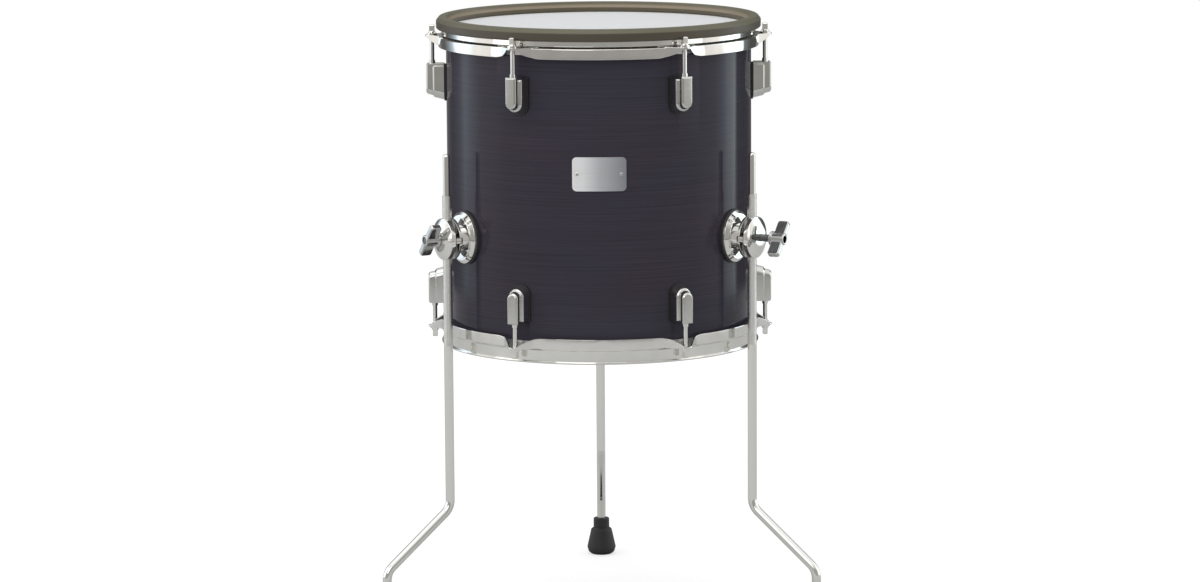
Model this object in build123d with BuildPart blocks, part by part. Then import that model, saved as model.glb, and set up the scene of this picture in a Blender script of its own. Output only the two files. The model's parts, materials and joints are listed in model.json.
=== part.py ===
from build123d import *
import os
from math import cos, pi, radians, sin

# Floor tom on three bent legs, all sizes in millimetres.
# The origin is on the drum's axis at floor level, +Z is up and the front with the badge faces -Y.
# An azimuth is counted from the front towards +X, in degrees.

# Shell
shell_diameter = 355.6
shell_depth = 355.6
shell_wall = 7.2
floor_to_shell = 331.8
edge_land = 1.2

# Heads
mesh_thickness = 0.9
film_thickness = 0.5
head_gap = 0.25
flesh_ring_width = 4.8
flesh_ring_height = 6.5

# Flanged steel hoops
hoop_steel = 2.3
hoop_bore_gap = 2.8
hoop_step = 4.1
hoop_height = 28.9
hoop_wall_height = 14.6
hoop_shoulder = 1.6
hoop_lip = 3.2
batter_rim_stand = 7.2
resonant_rim_stand = 13.8

# Ears of the hoops, where the flange and its skirt bulge out over each rod
ear_flat = 9.0
ear_foot = 44.0
ear_foot_radius = 6.0
ear_tip_radius = 7.8
ear_hole_radius = 3.5
arch_foot = 60.0

# Rubber rim cover
rubber_top = 5.4
rubber_side = 2.7
rubber_inner_width = 7.6
rubber_side_height = 14.2
rubber_inner_depth = 11.6
rubber_bevel = 4.4
rubber_step = 2.6
rubber_ledge = 3.4
rubber_gap = 0.3

# Tension rods, their washers and swivel nuts
rod_count = 6
rod_first_azimuth = 30.0
rod_reach = 16.2
rod_radius = 2.6
rod_thread_engaged = 13.0
washer_radius = 5.9
washer_thickness = 1.6
washer_bore_gap = 0.35
rod_flange_radius = 4.6
rod_flange_height = 2.4
rod_key_side = 6.0
rod_key_height = 7.6
rod_key_chamfer = 1.0
rod_fit = 0.08
nut_radius = 4.2
nut_length = 15.0
nut_collar_radius = 3.5
nut_collar_height = 3.6
nut_gap = 0.3

# Lug casings
lug_width = 20.0
lug_length = 40.0
lug_depth = 21.2
lug_body_depth = 13.4
lug_body_setback = 2.8
lug_rib_width = 14.0
lug_rib_inset = 2.0
lug_bevel = 1.7
lug_end_lean = 5.2
batter_lug_drop = 42.4
resonant_lug_drop = 31.0
gasket_thickness = 2.1
gasket_rim = 1.3

# Mounting screws, heads inside the shell
screw_radius = 2.4
screw_gap = 0.3
screw_bite = 6.5
screw_head_radius = 4.4
screw_head_height = 3.6
screw_seat_gap = 0.15
lug_screw_spacing = 20.0

# Leg brackets
bracket_azimuths = {"left": -60.0, "right": 60.0, "rear": 180.0}
bracket_height = 452.0
bracket_gasket_thickness = 1.6
flange_radius = 30.0
flange_side = 3.4
flange_thickness = 6.6
flange_face_radius = 26.2
boss_radius = 24.0
clamp_gap = 4.6
jaw_rim = 5.2
jaw_thickness = 11.2
jaw_hub_radius = 11.0
tongue_height = 6.4
tongue_reach = 7.4
tongue_depth = 6.6
tongue_gap = 0.4
notch_width = 3.6
notch_depth = 2.2
bracket_screw_spacing = 34.0

# Eye bolts and wing nuts
leg_reach = 24.6
eye_radius = 10.0
eye_height = 9.0
shank_radius = 4.0
shank_anchor = 9.0
shank_length = 29.0
leg_clearance = 0.3
wing_roll = 40.0
wing_stands = {"left": 0.3, "right": 13.0, "rear": 0.3}
wing_hub_radius = 8.6
wing_hub_neck = 6.6
wing_hub_length = 17.4
wing_span = 46.0
wing_root = 2.4
wing_corner = 3.2
wing_bevel = 0.9
wing_lobe_length = 14.0
wing_thickness = 6.8
wing_fit = 0.3

# Legs and feet
leg_radius = 5.3
leg_tip_radius = 4.1
leg_tip_length = 48.0
leg_top = 550.0
leg_knee_height = 137.0
leg_ankle_height = 69.5
leg_splay = 83.6
leg_bend_radius = 20.0
foot_height = 45.5
foot_collar_radius = 9.8
foot_collar_height = 13.0
foot_top_radius = 12.8
foot_base_radius = 17.7
foot_base_band = 9.0
foot_sole_radius = 12.5
foot_sole = 9.0
foot_fit = 0.15

# Badge, left blank
badge_width = 61.5
badge_height = 38.8
badge_corner = 5.0
badge_thickness = 1.0
badge_drop = 152.0
badge_gap = 0.1
rivet_spacing = 50.0
rivet_radius = 2.3
rivet_head = 1.1

# Sensor inside the drum
bar_drop = 46.0
bar_width = 28.0
bar_thickness = 2.2
bar_tab_length = 38.0
bar_tab_gap = 0.8
sensor_plate_radius = 30.0
sensor_plate_height = 5.0
cone_base_radius = 22.0
cone_tip_radius = 7.0
cone_gap = 0.3

# Output jack
jack_azimuth = 120.0
jack_height = 452.0
jack_bore_radius = 3.25
jack_thread_radius = 4.7
jack_proud = 6.0
jack_body_radius = 8.5
jack_body_length = 24.0
jack_nut_radius = 7.6
jack_nut_height = 2.4
jack_gap = 0.25

# Sizes that follow from the ones above
shell_radius = shell_diameter / 2
shell_inner = shell_radius - shell_wall
shell_top = floor_to_shell + shell_depth
batter_rim = shell_top + batter_rim_stand
resonant_rim = floor_to_shell - resonant_rim_stand
rim_top = batter_rim + rubber_top
hoop_inner = shell_radius + hoop_bore_gap
hoop_wall_outer = hoop_inner + hoop_steel
skirt_inner = hoop_inner + hoop_step
skirt_outer = skirt_inner + hoop_steel
lip_outer = hoop_wall_outer + hoop_lip
ear_depth = hoop_wall_height + hoop_shoulder
ledge_depth = ear_depth + hoop_steel
rod_circle = shell_radius + rod_reach
batter_ear = batter_rim - ear_depth
resonant_ear = resonant_rim + ear_depth
batter_rod_face = shell_top - batter_lug_drop
resonant_rod_face = floor_to_shell + resonant_lug_drop
lug_back = shell_radius + gasket_thickness
leg_circle = shell_radius + leg_reach
bracket_back = shell_radius + bracket_gasket_thickness
boss_face = leg_circle - clamp_gap * 0.78
jaw_back = boss_face + clamp_gap
jaw_front = jaw_back + jaw_thickness
foot_circle = leg_circle + leg_splay
rivet_azimuth = rivet_spacing / 2 / shell_radius * 180 / pi
rod_azimuths = [rod_first_azimuth + 360.0 / rod_count * i for i in range(rod_count)]


def outward(azimuth):
    return Vector(sin(radians(azimuth)), -cos(radians(azimuth)), 0)


def sideways(azimuth):
    return Vector(cos(radians(azimuth)), sin(radians(azimuth)), 0)


def spot(azimuth, radius, height):
    return outward(azimuth) * radius + Vector(0, 0, height)


def facing(azimuth, radius, height):
    """Plane square to the radius: x runs sideways, y is up."""
    return Plane(spot(azimuth, radius, height), x_dir=sideways(azimuth), z_dir=outward(azimuth))


def upright(azimuth):
    """Plane through the drum's axis: x is the radius, y is the height."""
    return Plane((0, 0, 0), x_dir=outward(azimuth), z_dir=sideways(azimuth) * -1)


def level(azimuth, radius, height, up=1):
    """Level plane at a spot of the drum, facing up or down."""
    return Plane(spot(azimuth, radius, height), x_dir=sideways(azimuth), z_dir=(0, 0, up))


def radial_axis(azimuth, height):
    return Axis((0, 0, height), outward(azimuth))


def save(builder, name):
    builder.part.label = name
    export_step(builder.part, f"parts/{name}.step")


def bullet(width, flat_end, round_end):
    """Outline that is square at one end and half round at the other."""
    way = 1 if round_end > flat_end else -1
    centre = round_end - way * width / 2
    with Locations((0, (flat_end + centre) / 2)):
        Rectangle(width, abs(centre - flat_end))
    with Locations((0, centre)):
        Circle(width / 2)


def lug_places():
    """Azimuth, height of the rod end and its direction, for both rows of lugs."""
    top_row = [(azimuth, batter_rod_face, 1) for azimuth in rod_azimuths]
    bottom_row = [(azimuth, resonant_rod_face, -1) for azimuth in rod_azimuths]
    return top_row + bottom_row


def lug_centre(rod_face, up):
    return rod_face - up * (lug_length + lug_body_setback) / 2


def on_crossbar(azimuth, up):
    """The lugs at the two sides of the batter row also hold the sensor crossbar."""
    return up == 1 and abs(cos(radians(azimuth))) < 0.01


def make_shell():
    inner_edge = shell_radius - edge_land - shell_inner
    with BuildPart() as shell:
        with BuildSketch(Plane.XZ):
            with BuildLine():
                Polyline(
                    (shell_inner, floor_to_shell + inner_edge),
                    (shell_radius - edge_land, floor_to_shell),
                    (shell_radius, floor_to_shell + edge_land),
                    (shell_radius, shell_top - edge_land),
                    (shell_radius - edge_land, shell_top),
                    (shell_inner, shell_top - inner_edge),
                    close=True,
                )
            make_face()
        revolve(axis=Axis.Z)
        for azimuth, rod_face, up in lug_places():
            with BuildSketch(facing(azimuth, shell_inner - shell_wall, lug_centre(rod_face, up))):
                with GridLocations(0, lug_screw_spacing, 1, 2):
                    Circle(screw_radius + screw_gap)
            extrude(amount=3 * shell_wall, mode=Mode.SUBTRACT)
        for azimuth in bracket_azimuths.values():
            with BuildSketch(facing(azimuth, shell_inner - shell_wall, bracket_height)):
                with GridLocations(0, bracket_screw_spacing, 1, 2):
                    Circle(screw_radius + screw_gap)
            extrude(amount=3 * shell_wall, mode=Mode.SUBTRACT)
        for azimuth in (-rivet_azimuth, rivet_azimuth):
            with BuildSketch(facing(azimuth, shell_inner - shell_wall, shell_top - badge_drop)):
                Circle(rivet_radius / 2 + badge_gap)
            extrude(amount=3 * shell_wall, mode=Mode.SUBTRACT)
        with BuildSketch(facing(jack_azimuth, shell_inner - shell_wall, jack_height)):
            Circle(jack_thread_radius + jack_gap)
        extrude(amount=3 * shell_wall, mode=Mode.SUBTRACT)
    save(shell, "shell")


def make_head(name, edge, up, thickness, ledge):
    """A skin that lies on the bearing edge and turns down to its flesh ring."""
    inside = shell_radius + head_gap
    ring_end = ledge - up * flesh_ring_height
    with BuildPart() as head:
        with BuildSketch(Plane.XZ):
            with BuildLine():
                Polyline(
                    (0, edge),
                    (0, edge + up * thickness),
                    (inside + thickness / 2, edge + up * thickness),
                    (inside + thickness, edge + up * thickness / 2),
                    (inside + thickness, ring_end),
                    (inside, ring_end),
                    (inside, edge),
                    close=True,
                )
            make_face()
        revolve(axis=Axis.Z)
    save(head, name)


def make_flesh_ring(name, ledge, up, thickness):
    ring_inner = shell_radius + head_gap + thickness + head_gap
    ring_outer = min(ring_inner + flesh_ring_width, skirt_inner - head_gap)
    with BuildPart() as ring:
        with BuildSketch(Plane.XY.offset(ledge)):
            Circle(ring_outer)
            Circle(ring_inner, mode=Mode.SUBTRACT)
        extrude(amount=-up * flesh_ring_height)
    save(ring, name)


def ear_plan(inset):
    """Outline of the front ear seen from above, less a steel thickness where asked."""
    foot_side = ear_foot / 2 - ear_foot_radius
    with Locations((0, -rod_circle)):
        Circle(ear_tip_radius - inset)
    with Locations((-foot_side, ear_foot_radius - skirt_outer), (foot_side, ear_foot_radius - skirt_outer)):
        Circle(ear_foot_radius - inset)
    make_hull()


def hoop_ear(rim, up):
    """The bulge over the rod at the front: a flat top with a thin skirt along its outline."""
    top = rim - up * ear_depth
    with BuildPart() as ear:
        with BuildSketch(Plane.XY.offset(top)):
            ear_plan(0)
            Circle(hoop_inner, mode=Mode.SUBTRACT)
        extrude(amount=up * (ear_depth - hoop_height))
    return ear.part


def ear_hollow(rim, up):
    """The space under the front ear, inside its skirt."""
    with BuildPart() as hollow:
        with BuildSketch(Plane.XY.offset(rim - up * ledge_depth)):
            ear_plan(hoop_steel)
        extrude(amount=up * (ledge_depth - hoop_height - hoop_steel))
        with BuildSketch(Plane.XY.offset(rim - up * ear_depth)):
            with Locations((0, -rod_circle)):
                Circle(ear_hole_radius)
        extrude(amount=-up * hoop_step)
        with BuildSketch(Plane.XY.offset(rim - up * ledge_depth)):
            Circle(skirt_inner)
        extrude(amount=up * (ledge_depth - hoop_height - hoop_steel), mode=Mode.SUBTRACT)
    return hollow.part


def ear_arch(rim, up):
    """The pointed arch that is cut from the skirt below the front ear, two arcs that end level."""
    top = rim - up * ledge_depth
    foot = rim - up * hoop_height
    below = foot - up * hoop_steel
    with BuildPart() as arch:
        with BuildSketch(facing(0, skirt_inner * cos(arch_foot / 2 / skirt_inner) - rubber_gap, 0)):
            with BuildLine():
                crown = Line((-ear_flat / 2, top), (ear_flat / 2, top))
                right = TangentArc((arch_foot / 2, foot), (ear_flat / 2, top), tangent=(-1, 0))
                left = TangentArc((-arch_foot / 2, foot), (-ear_flat / 2, top), tangent=(1, 0))
                Polyline(right @ 0, (arch_foot / 2, below), (-arch_foot / 2, below), left @ 0)
            make_face()
        extrude(amount=rod_circle + ear_tip_radius + hoop_steel - skirt_inner + ear_foot_radius)
    return arch.part


def make_hoop(name, rim, up):
    ear = hoop_ear(rim, up)
    hollow = ear_hollow(rim, up)
    arch = ear_arch(rim, up)
    cavity_end = rim - up * (hoop_height + hoop_steel)
    with BuildPart() as hoop:
        with BuildSketch(Plane.XZ):
            with BuildLine():
                Polyline(
                    (hoop_inner, rim),
                    (lip_outer - hoop_steel / 3, rim),
                    (lip_outer, rim - up * hoop_steel / 2),
                    (lip_outer, rim - up * hoop_steel),
                    (hoop_wall_outer, rim - up * hoop_steel),
                    (hoop_wall_outer, rim - up * hoop_wall_height),
                    (skirt_outer - hoop_steel / 2, rim - up * ear_depth),
                    (skirt_outer, rim - up * (ear_depth + hoop_steel / 2)),
                    (skirt_outer, rim - up * hoop_height),
                    (skirt_inner, rim - up * hoop_height),
                    (skirt_inner, rim - up * ledge_depth),
                    (hoop_inner, rim - up * ledge_depth),
                    close=True,
                )
            make_face()
        revolve(axis=Axis.Z)
        with PolarLocations(0, rod_count, start_angle=rod_first_azimuth):
            add(ear)
        with BuildSketch(Plane.XY.offset(rim - up * ledge_depth)):
            Circle(skirt_inner)
        extrude(amount=cavity_end - rim + up * ledge_depth, mode=Mode.SUBTRACT)
        with PolarLocations(0, rod_count, start_angle=rod_first_azimuth):
            add(hollow, mode=Mode.SUBTRACT)
            add(arch, mode=Mode.SUBTRACT)
    save(hoop, name)


def make_rim_rubber():
    """A heavy U of rubber that grips the lip of the batter hoop, with a ledge along its inside."""
    cavity_inner = hoop_inner - rubber_gap
    cavity_outer = lip_outer + rubber_gap
    cavity_top = batter_rim + rubber_gap
    grip = hoop_wall_outer + rubber_gap
    under_lip = batter_rim - hoop_steel - rubber_gap
    outer = cavity_outer + rubber_side
    inner = cavity_inner - rubber_inner_width
    inner_foot = rim_top - rubber_inner_depth
    outer_foot = rim_top - rubber_side_height
    with BuildPart() as rubber:
        with BuildSketch(Plane.XZ):
            with BuildLine():
                Polyline(
                    (cavity_inner, inner_foot),
                    (inner + rubber_bevel / 4, inner_foot),
                    (inner, inner_foot + rubber_bevel / 4),
                    (inner, rim_top - rubber_step - rubber_ledge),
                    (inner + rubber_ledge, rim_top - rubber_step),
                    (inner + rubber_ledge, rim_top - rubber_bevel / 5),
                    (inner + rubber_ledge + rubber_bevel / 5, rim_top),
                    (outer - rubber_bevel * 0.8, rim_top),
                    (outer, rim_top - rubber_bevel),
                    (outer, outer_foot + rubber_bevel / 3),
                    (outer - rubber_bevel / 2, outer_foot),
                    (grip, outer_foot),
                    (grip, under_lip),
                    (cavity_outer, under_lip),
                    (cavity_outer, cavity_top),
                    (cavity_inner, cavity_top),
                    close=True,
                )
            make_face()
        revolve(axis=Axis.Z)
    save(rubber, "rim_rubber")


def lug_block(azimuth, rod_face, up, width, flat_end, round_end, depth):
    """One step of a lug: flat at the rod, half round and leaning back at the far end, beveled in front."""
    lean = lug_end_lean * depth / lug_depth
    way = outward(azimuth) * depth + Vector(0, 0, up * lean)
    with BuildPart() as block:
        with BuildSketch(facing(azimuth, lug_back, rod_face)):
            bullet(width, flat_end + up * lug_end_lean, round_end)
        extrude(amount=way.length, dir=way)
        with BuildSketch(level(azimuth, lug_back, rod_face + flat_end, up)):
            Rectangle(2 * lug_width, 3 * lug_depth)
        extrude(amount=2 * lug_end_lean, mode=Mode.SUBTRACT)
        chamfer(block.faces().sort_by(radial_axis(azimuth, rod_face))[-1].edges(), lug_bevel)
    return block.part


def make_lug(name, azimuth, rod_face, up):
    """Beveled casing: a wide body against the shell and a narrower raised rib that carries the rod."""
    body_end = -up * (lug_length + lug_body_setback)
    rib_end = body_end + up * lug_rib_inset
    body = lug_block(azimuth, rod_face, up, lug_width, -up * lug_body_setback, body_end, lug_body_depth)
    rib = lug_block(azimuth, rod_face, up, lug_rib_width, 0, rib_end, lug_depth)
    with BuildPart() as lug:
        add(body)
        add(rib)
        with BuildSketch(level(azimuth, rod_circle, rod_face, up)):
            Circle(nut_radius + nut_gap)
        extrude(amount=-(nut_length + nut_gap), mode=Mode.SUBTRACT)
        with BuildSketch(facing(azimuth, lug_back, lug_centre(rod_face, up))):
            with GridLocations(0, lug_screw_spacing, 1, 2):
                Circle(screw_radius + screw_gap / 2)
        extrude(amount=screw_bite + screw_gap, mode=Mode.SUBTRACT)
    save(lug, name)


def make_lug_gaskets():
    """Rubber pads between the lugs and the round shell, a little larger than the casings."""
    with BuildPart() as gaskets:
        for azimuth, rod_face, up in lug_places():
            with BuildSketch(facing(azimuth, shell_inner, rod_face)):
                start = -up * (lug_body_setback - gasket_rim)
                end = -up * (lug_length + lug_body_setback + gasket_rim)
                bullet(lug_width + 2 * gasket_rim, start, end)
            extrude(amount=lug_back - shell_inner)
            with BuildSketch(facing(azimuth, shell_inner, lug_centre(rod_face, up))):
                with GridLocations(0, lug_screw_spacing, 1, 2):
                    Circle(screw_radius + screw_gap)
            extrude(amount=lug_back - shell_inner, mode=Mode.SUBTRACT)
        with BuildSketch(Plane.XY.offset(floor_to_shell)):
            Circle(shell_radius)
        extrude(amount=shell_depth, mode=Mode.SUBTRACT)
    save(gaskets, "lug_gaskets")


def make_swivel_nuts():
    with BuildPart() as nuts:
        for azimuth, rod_face, up in lug_places():
            with BuildSketch(level(azimuth, rod_circle, rod_face, up)):
                Circle(nut_radius)
            extrude(amount=-nut_length)
            with BuildSketch(level(azimuth, rod_circle, rod_face, up)):
                Circle(nut_collar_radius)
            extrude(amount=nut_collar_height)
            with BuildSketch(level(azimuth, rod_circle, rod_face, up)):
                Circle(rod_radius + rod_fit)
            extrude(amount=nut_collar_height, mode=Mode.SUBTRACT)
            with BuildSketch(level(azimuth, rod_circle, rod_face, up)):
                Circle(rod_radius + rod_fit)
            extrude(amount=-nut_length, mode=Mode.SUBTRACT)
    save(nuts, "swivel_nuts")


def make_rod_washers():
    with BuildPart() as washers:
        for azimuth in rod_azimuths:
            for ear, up in ((batter_ear, 1), (resonant_ear, -1)):
                with BuildSketch(level(azimuth, rod_circle, ear, up)):
                    Circle(washer_radius)
                    Circle(rod_radius + washer_bore_gap, mode=Mode.SUBTRACT)
                extrude(amount=washer_thickness)
    save(washers, "rod_washers")


def make_tension_rod(name, azimuth, ear, rod_face, up):
    """Long screw with a round flange and a square key head."""
    seat = ear + up * washer_thickness
    length = abs(seat - rod_face) + rod_thread_engaged
    with BuildPart() as rod:
        with BuildSketch(level(azimuth, rod_circle, seat, up)):
            Circle(rod_radius)
        extrude(amount=-length)
        with BuildSketch(level(azimuth, rod_circle, seat, up)):
            Circle(rod_flange_radius)
        extrude(amount=rod_flange_height, taper=14)
        with BuildSketch(level(azimuth, rod_circle, seat + up * rod_flange_height, up)):
            Rectangle(rod_key_side, rod_key_side)
        extrude(amount=rod_key_height)
        crown = rod.faces().sort_by(Axis.Z)[-1 if up == 1 else 0]
        chamfer(crown.edges(), rod_key_chamfer)
    save(rod, name)


def make_mounting_screws():
    """Hexagon screws that pass through the shell from inside into the lugs and brackets."""
    places = []
    for azimuth, rod_face, up in lug_places():
        seat = shell_inner - bar_tab_gap - bar_thickness if on_crossbar(azimuth, up) else shell_inner
        centre = lug_centre(rod_face, up)
        for offset in (-lug_screw_spacing / 2, lug_screw_spacing / 2):
            places.append((azimuth, centre + offset, seat - screw_seat_gap, lug_back + screw_bite))
    for azimuth in bracket_azimuths.values():
        for offset in (-bracket_screw_spacing / 2, bracket_screw_spacing / 2):
            end = bracket_back + screw_bite
            places.append((azimuth, bracket_height + offset, shell_inner - screw_seat_gap, end))
    with BuildPart() as screws:
        for azimuth, height, seat, end in places:
            with BuildSketch(facing(azimuth, seat, height)):
                RegularPolygon(screw_head_radius, 6)
            extrude(amount=-screw_head_height)
            with BuildSketch(facing(azimuth, seat, height)):
                Circle(screw_radius)
            extrude(amount=end - seat)
    save(screws, "mounting_screws")


def make_bracket_gaskets():
    with BuildPart() as gaskets:
        for azimuth in bracket_azimuths.values():
            with BuildSketch(facing(azimuth, shell_inner, bracket_height)):
                Circle(flange_radius + gasket_rim)
                with GridLocations(0, bracket_screw_spacing, 1, 2):
                    Circle(screw_radius + screw_gap, mode=Mode.SUBTRACT)
            extrude(amount=bracket_back - shell_inner)
        with BuildSketch(Plane.XY.offset(floor_to_shell)):
            Circle(shell_radius)
        extrude(amount=shell_depth, mode=Mode.SUBTRACT)
    save(gaskets, "bracket_gaskets")


def make_bracket(name, azimuth):
    """Round flange and boss, with a groove for the leg, an eye pocket and two side slots."""
    axis = radial_axis(azimuth, bracket_height)
    with BuildPart() as bracket:
        with BuildSketch(upright(azimuth)):
            Polygon(
                (bracket_back, bracket_height),
                (bracket_back, bracket_height + flange_radius),
                (bracket_back + flange_side, bracket_height + flange_radius),
                (bracket_back + flange_thickness, bracket_height + flange_face_radius),
                (bracket_back + flange_thickness, bracket_height + boss_radius),
                (boss_face, bracket_height + boss_radius),
                (boss_face, bracket_height),
                align=None,
            )
        revolve(axis=axis)
        with BuildSketch(level(azimuth, leg_circle, bracket_height - flange_radius)):
            Circle(leg_radius + leg_clearance)
        extrude(amount=2 * flange_radius, mode=Mode.SUBTRACT)
        pocket = leg_circle - eye_radius - tongue_gap
        with BuildSketch(facing(azimuth, pocket, bracket_height)):
            Rectangle(2 * (eye_radius + tongue_gap), eye_height + 2 * tongue_gap)
        extrude(amount=boss_face - pocket, mode=Mode.SUBTRACT)
        with BuildSketch(facing(azimuth, pocket - shank_anchor, bracket_height)):
            Circle(shank_radius + tongue_gap / 4)
        extrude(amount=shank_anchor, mode=Mode.SUBTRACT)
        slot_end = jaw_back - tongue_reach - 2 * tongue_gap
        slot_inner = boss_radius - tongue_depth - tongue_gap
        for side in (-1, 1):
            with BuildSketch(facing(azimuth, slot_end, bracket_height)):
                with Locations((side * (slot_inner + boss_radius) / 2, 0)):
                    Rectangle(boss_radius - slot_inner, tongue_height + 2 * tongue_gap)
            extrude(amount=boss_face - slot_end, mode=Mode.SUBTRACT)
        with BuildSketch(facing(azimuth, bracket_back + flange_side, bracket_height)):
            with PolarLocations((flange_radius + flange_face_radius) / 2, 4, start_angle=45):
                Rectangle(notch_width + notch_depth, notch_width)
        extrude(amount=flange_thickness, mode=Mode.SUBTRACT)
        with BuildSketch(facing(azimuth, bracket_back, bracket_height)):
            with GridLocations(0, bracket_screw_spacing, 1, 2):
                Circle(screw_radius + screw_gap / 2)
        extrude(amount=screw_bite + screw_gap, mode=Mode.SUBTRACT)
    save(bracket, name)


def make_jaw(name, azimuth):
    """Outer clamp jaw: a domed disc with two tongues that key into the boss."""
    axis = radial_axis(azimuth, bracket_height)
    with BuildPart() as jaw:
        with BuildSketch(upright(azimuth)):
            Polygon(
                (jaw_back, bracket_height),
                (jaw_back, bracket_height + boss_radius),
                (jaw_back + jaw_rim, bracket_height + boss_radius),
                (jaw_front, bracket_height + jaw_hub_radius),
                (jaw_front, bracket_height),
                align=None,
            )
        revolve(axis=axis)
        with BuildSketch(facing(azimuth, jaw_back - tongue_reach, bracket_height)):
            for side in (-1, 1):
                with Locations((side * (boss_radius - tongue_depth / 2 - tongue_gap), 0)):
                    Rectangle(tongue_depth, tongue_height)
        extrude(amount=tongue_reach + jaw_rim / 2)
        with BuildSketch(level(azimuth, leg_circle, bracket_height - boss_radius)):
            Circle(leg_radius + leg_clearance)
        extrude(amount=2 * boss_radius, mode=Mode.SUBTRACT)
        with BuildSketch(facing(azimuth, jaw_back, bracket_height)):
            Rectangle(2 * (eye_radius + tongue_gap), eye_height + 2 * tongue_gap)
        extrude(amount=leg_circle + eye_radius + tongue_gap - jaw_back, mode=Mode.SUBTRACT)
        with BuildSketch(facing(azimuth, jaw_back, bracket_height)):
            Circle(shank_radius + wing_fit)
        extrude(amount=jaw_thickness, mode=Mode.SUBTRACT)
    save(jaw, name)


def make_eye_bolts():
    """Bolts anchored in the bosses, each with an eye round its leg and a shank for the wing nut."""
    with BuildPart() as bolts:
        for azimuth in bracket_azimuths.values():
            anchor = leg_circle - eye_radius - shank_anchor
            with BuildSketch(facing(azimuth, anchor, bracket_height)):
                Circle(shank_radius)
            extrude(amount=leg_circle + shank_length - anchor)
            with BuildSketch(level(azimuth, leg_circle, bracket_height - eye_height / 2)):
                Circle(eye_radius)
            extrude(amount=eye_height)
            with BuildSketch(level(azimuth, leg_circle, bracket_height - eye_height / 2)):
                Circle(leg_radius + leg_clearance)
            extrude(amount=eye_height, mode=Mode.SUBTRACT)
    save(bolts, "eye_bolts")


def make_wing_nut(name, azimuth, stand):
    """Hub on the shank with a thick cast blade across it; stand is how far it is from the jaw."""
    seat = jaw_front + stand
    hub_end = seat + wing_hub_length
    roll = radians(wing_roll)
    wing_way = sideways(azimuth) * sin(roll) + Vector(0, 0, cos(roll))
    wing_plane = Plane(
        spot(azimuth, 0, bracket_height),
        x_dir=outward(azimuth),
        z_dir=outward(azimuth).cross(wing_way),
    )
    lobe_end = hub_end - wing_bevel
    lobe_start = lobe_end - wing_lobe_length
    half_span = wing_span / 2
    with BuildPart() as wing:
        with BuildSketch(wing_plane):
            with BuildLine():
                Polyline(
                    (lobe_start - wing_root, wing_hub_neck),
                    (lobe_start, wing_hub_neck + wing_root),
                    (lobe_start, half_span),
                    (lobe_end, half_span),
                    (lobe_end, -half_span),
                    (lobe_start, -half_span),
                    (lobe_start, -wing_hub_neck - wing_root),
                    (lobe_start - wing_root, -wing_hub_neck),
                    close=True,
                )
            make_face()
        extrude(amount=wing_thickness / 2, both=True)
        middle = spot(azimuth, 0, bracket_height)
        corners = wing.edges().filter_by(Axis((0, 0, 0), wing_plane.z_dir))
        reach = half_span - wing_bevel
        ends = [edge for edge in corners if abs((edge.center() - middle).dot(wing_way)) > reach]
        fillet(ends, wing_corner)
        chamfer(wing.faces().filter_by(Axis((0, 0, 0), wing_plane.z_dir)).edges(), wing_bevel)
        with BuildSketch(upright(azimuth)):
            Polygon(
                (seat, bracket_height),
                (seat, bracket_height + wing_hub_radius),
                (seat + wing_root / 2, bracket_height + wing_hub_radius),
                (seat + wing_root, bracket_height + wing_hub_neck),
                (hub_end - wing_bevel, bracket_height + wing_hub_neck),
                (hub_end, bracket_height + wing_hub_neck - wing_bevel),
                (hub_end, bracket_height),
                align=None,
            )
        revolve(axis=radial_axis(azimuth, bracket_height))
        with BuildSketch(facing(azimuth, seat, bracket_height)):
            Circle(shank_radius + wing_fit)
        extrude(amount=wing_hub_length, mode=Mode.SUBTRACT)
    save(wing, name)


def make_leg(name, azimuth):
    """Chrome rod with a turned-down top, bent out and down again to its foot."""
    shoulder = leg_top - leg_tip_length
    with BuildPart() as leg:
        with BuildLine(upright(azimuth)):
            FilletPolyline(
                (leg_circle, shoulder),
                (leg_circle, leg_knee_height),
                (foot_circle, leg_ankle_height),
                (foot_circle, foot_sole),
                radius=leg_bend_radius,
            )
        with BuildSketch(level(azimuth, leg_circle, shoulder)):
            Circle(leg_radius)
        sweep()
        with BuildSketch(level(azimuth, leg_circle, shoulder)):
            Circle(leg_tip_radius)
        extrude(amount=leg_tip_length)
        fillet(leg.faces().sort_by(Axis.Z)[-1].edges(), leg_tip_radius * 0.7)
    save(leg, name)


def make_foot(name, azimuth):
    """Rubber foot with a round collar, a cone and a flat sole."""
    cone_top = foot_height - foot_collar_height
    centre = Axis(spot(azimuth, foot_circle, 0), (0, 0, 1))
    with BuildPart() as foot:
        with BuildSketch(upright(azimuth)):
            with BuildLine():
                Polyline(
                    (foot_circle, 0),
                    (foot_circle + foot_sole_radius, 0),
                    (foot_circle + foot_base_radius - 1.5, foot_base_band / 3),
                    (foot_circle + foot_base_radius, foot_base_band),
                    (foot_circle + foot_top_radius, cone_top - 1.5),
                    (foot_circle + foot_top_radius - 1.5, cone_top),
                    (foot_circle + foot_collar_radius, cone_top),
                    (foot_circle + foot_collar_radius, foot_height - 1),
                    (foot_circle + foot_collar_radius - 1, foot_height),
                    (foot_circle, foot_height),
                    close=True,
                )
            make_face()
        revolve(axis=centre)
        with BuildSketch(level(azimuth, foot_circle, foot_sole - foot_fit)):
            Circle(leg_radius + foot_fit)
        extrude(amount=foot_height, mode=Mode.SUBTRACT)
    save(foot, name)


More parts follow.
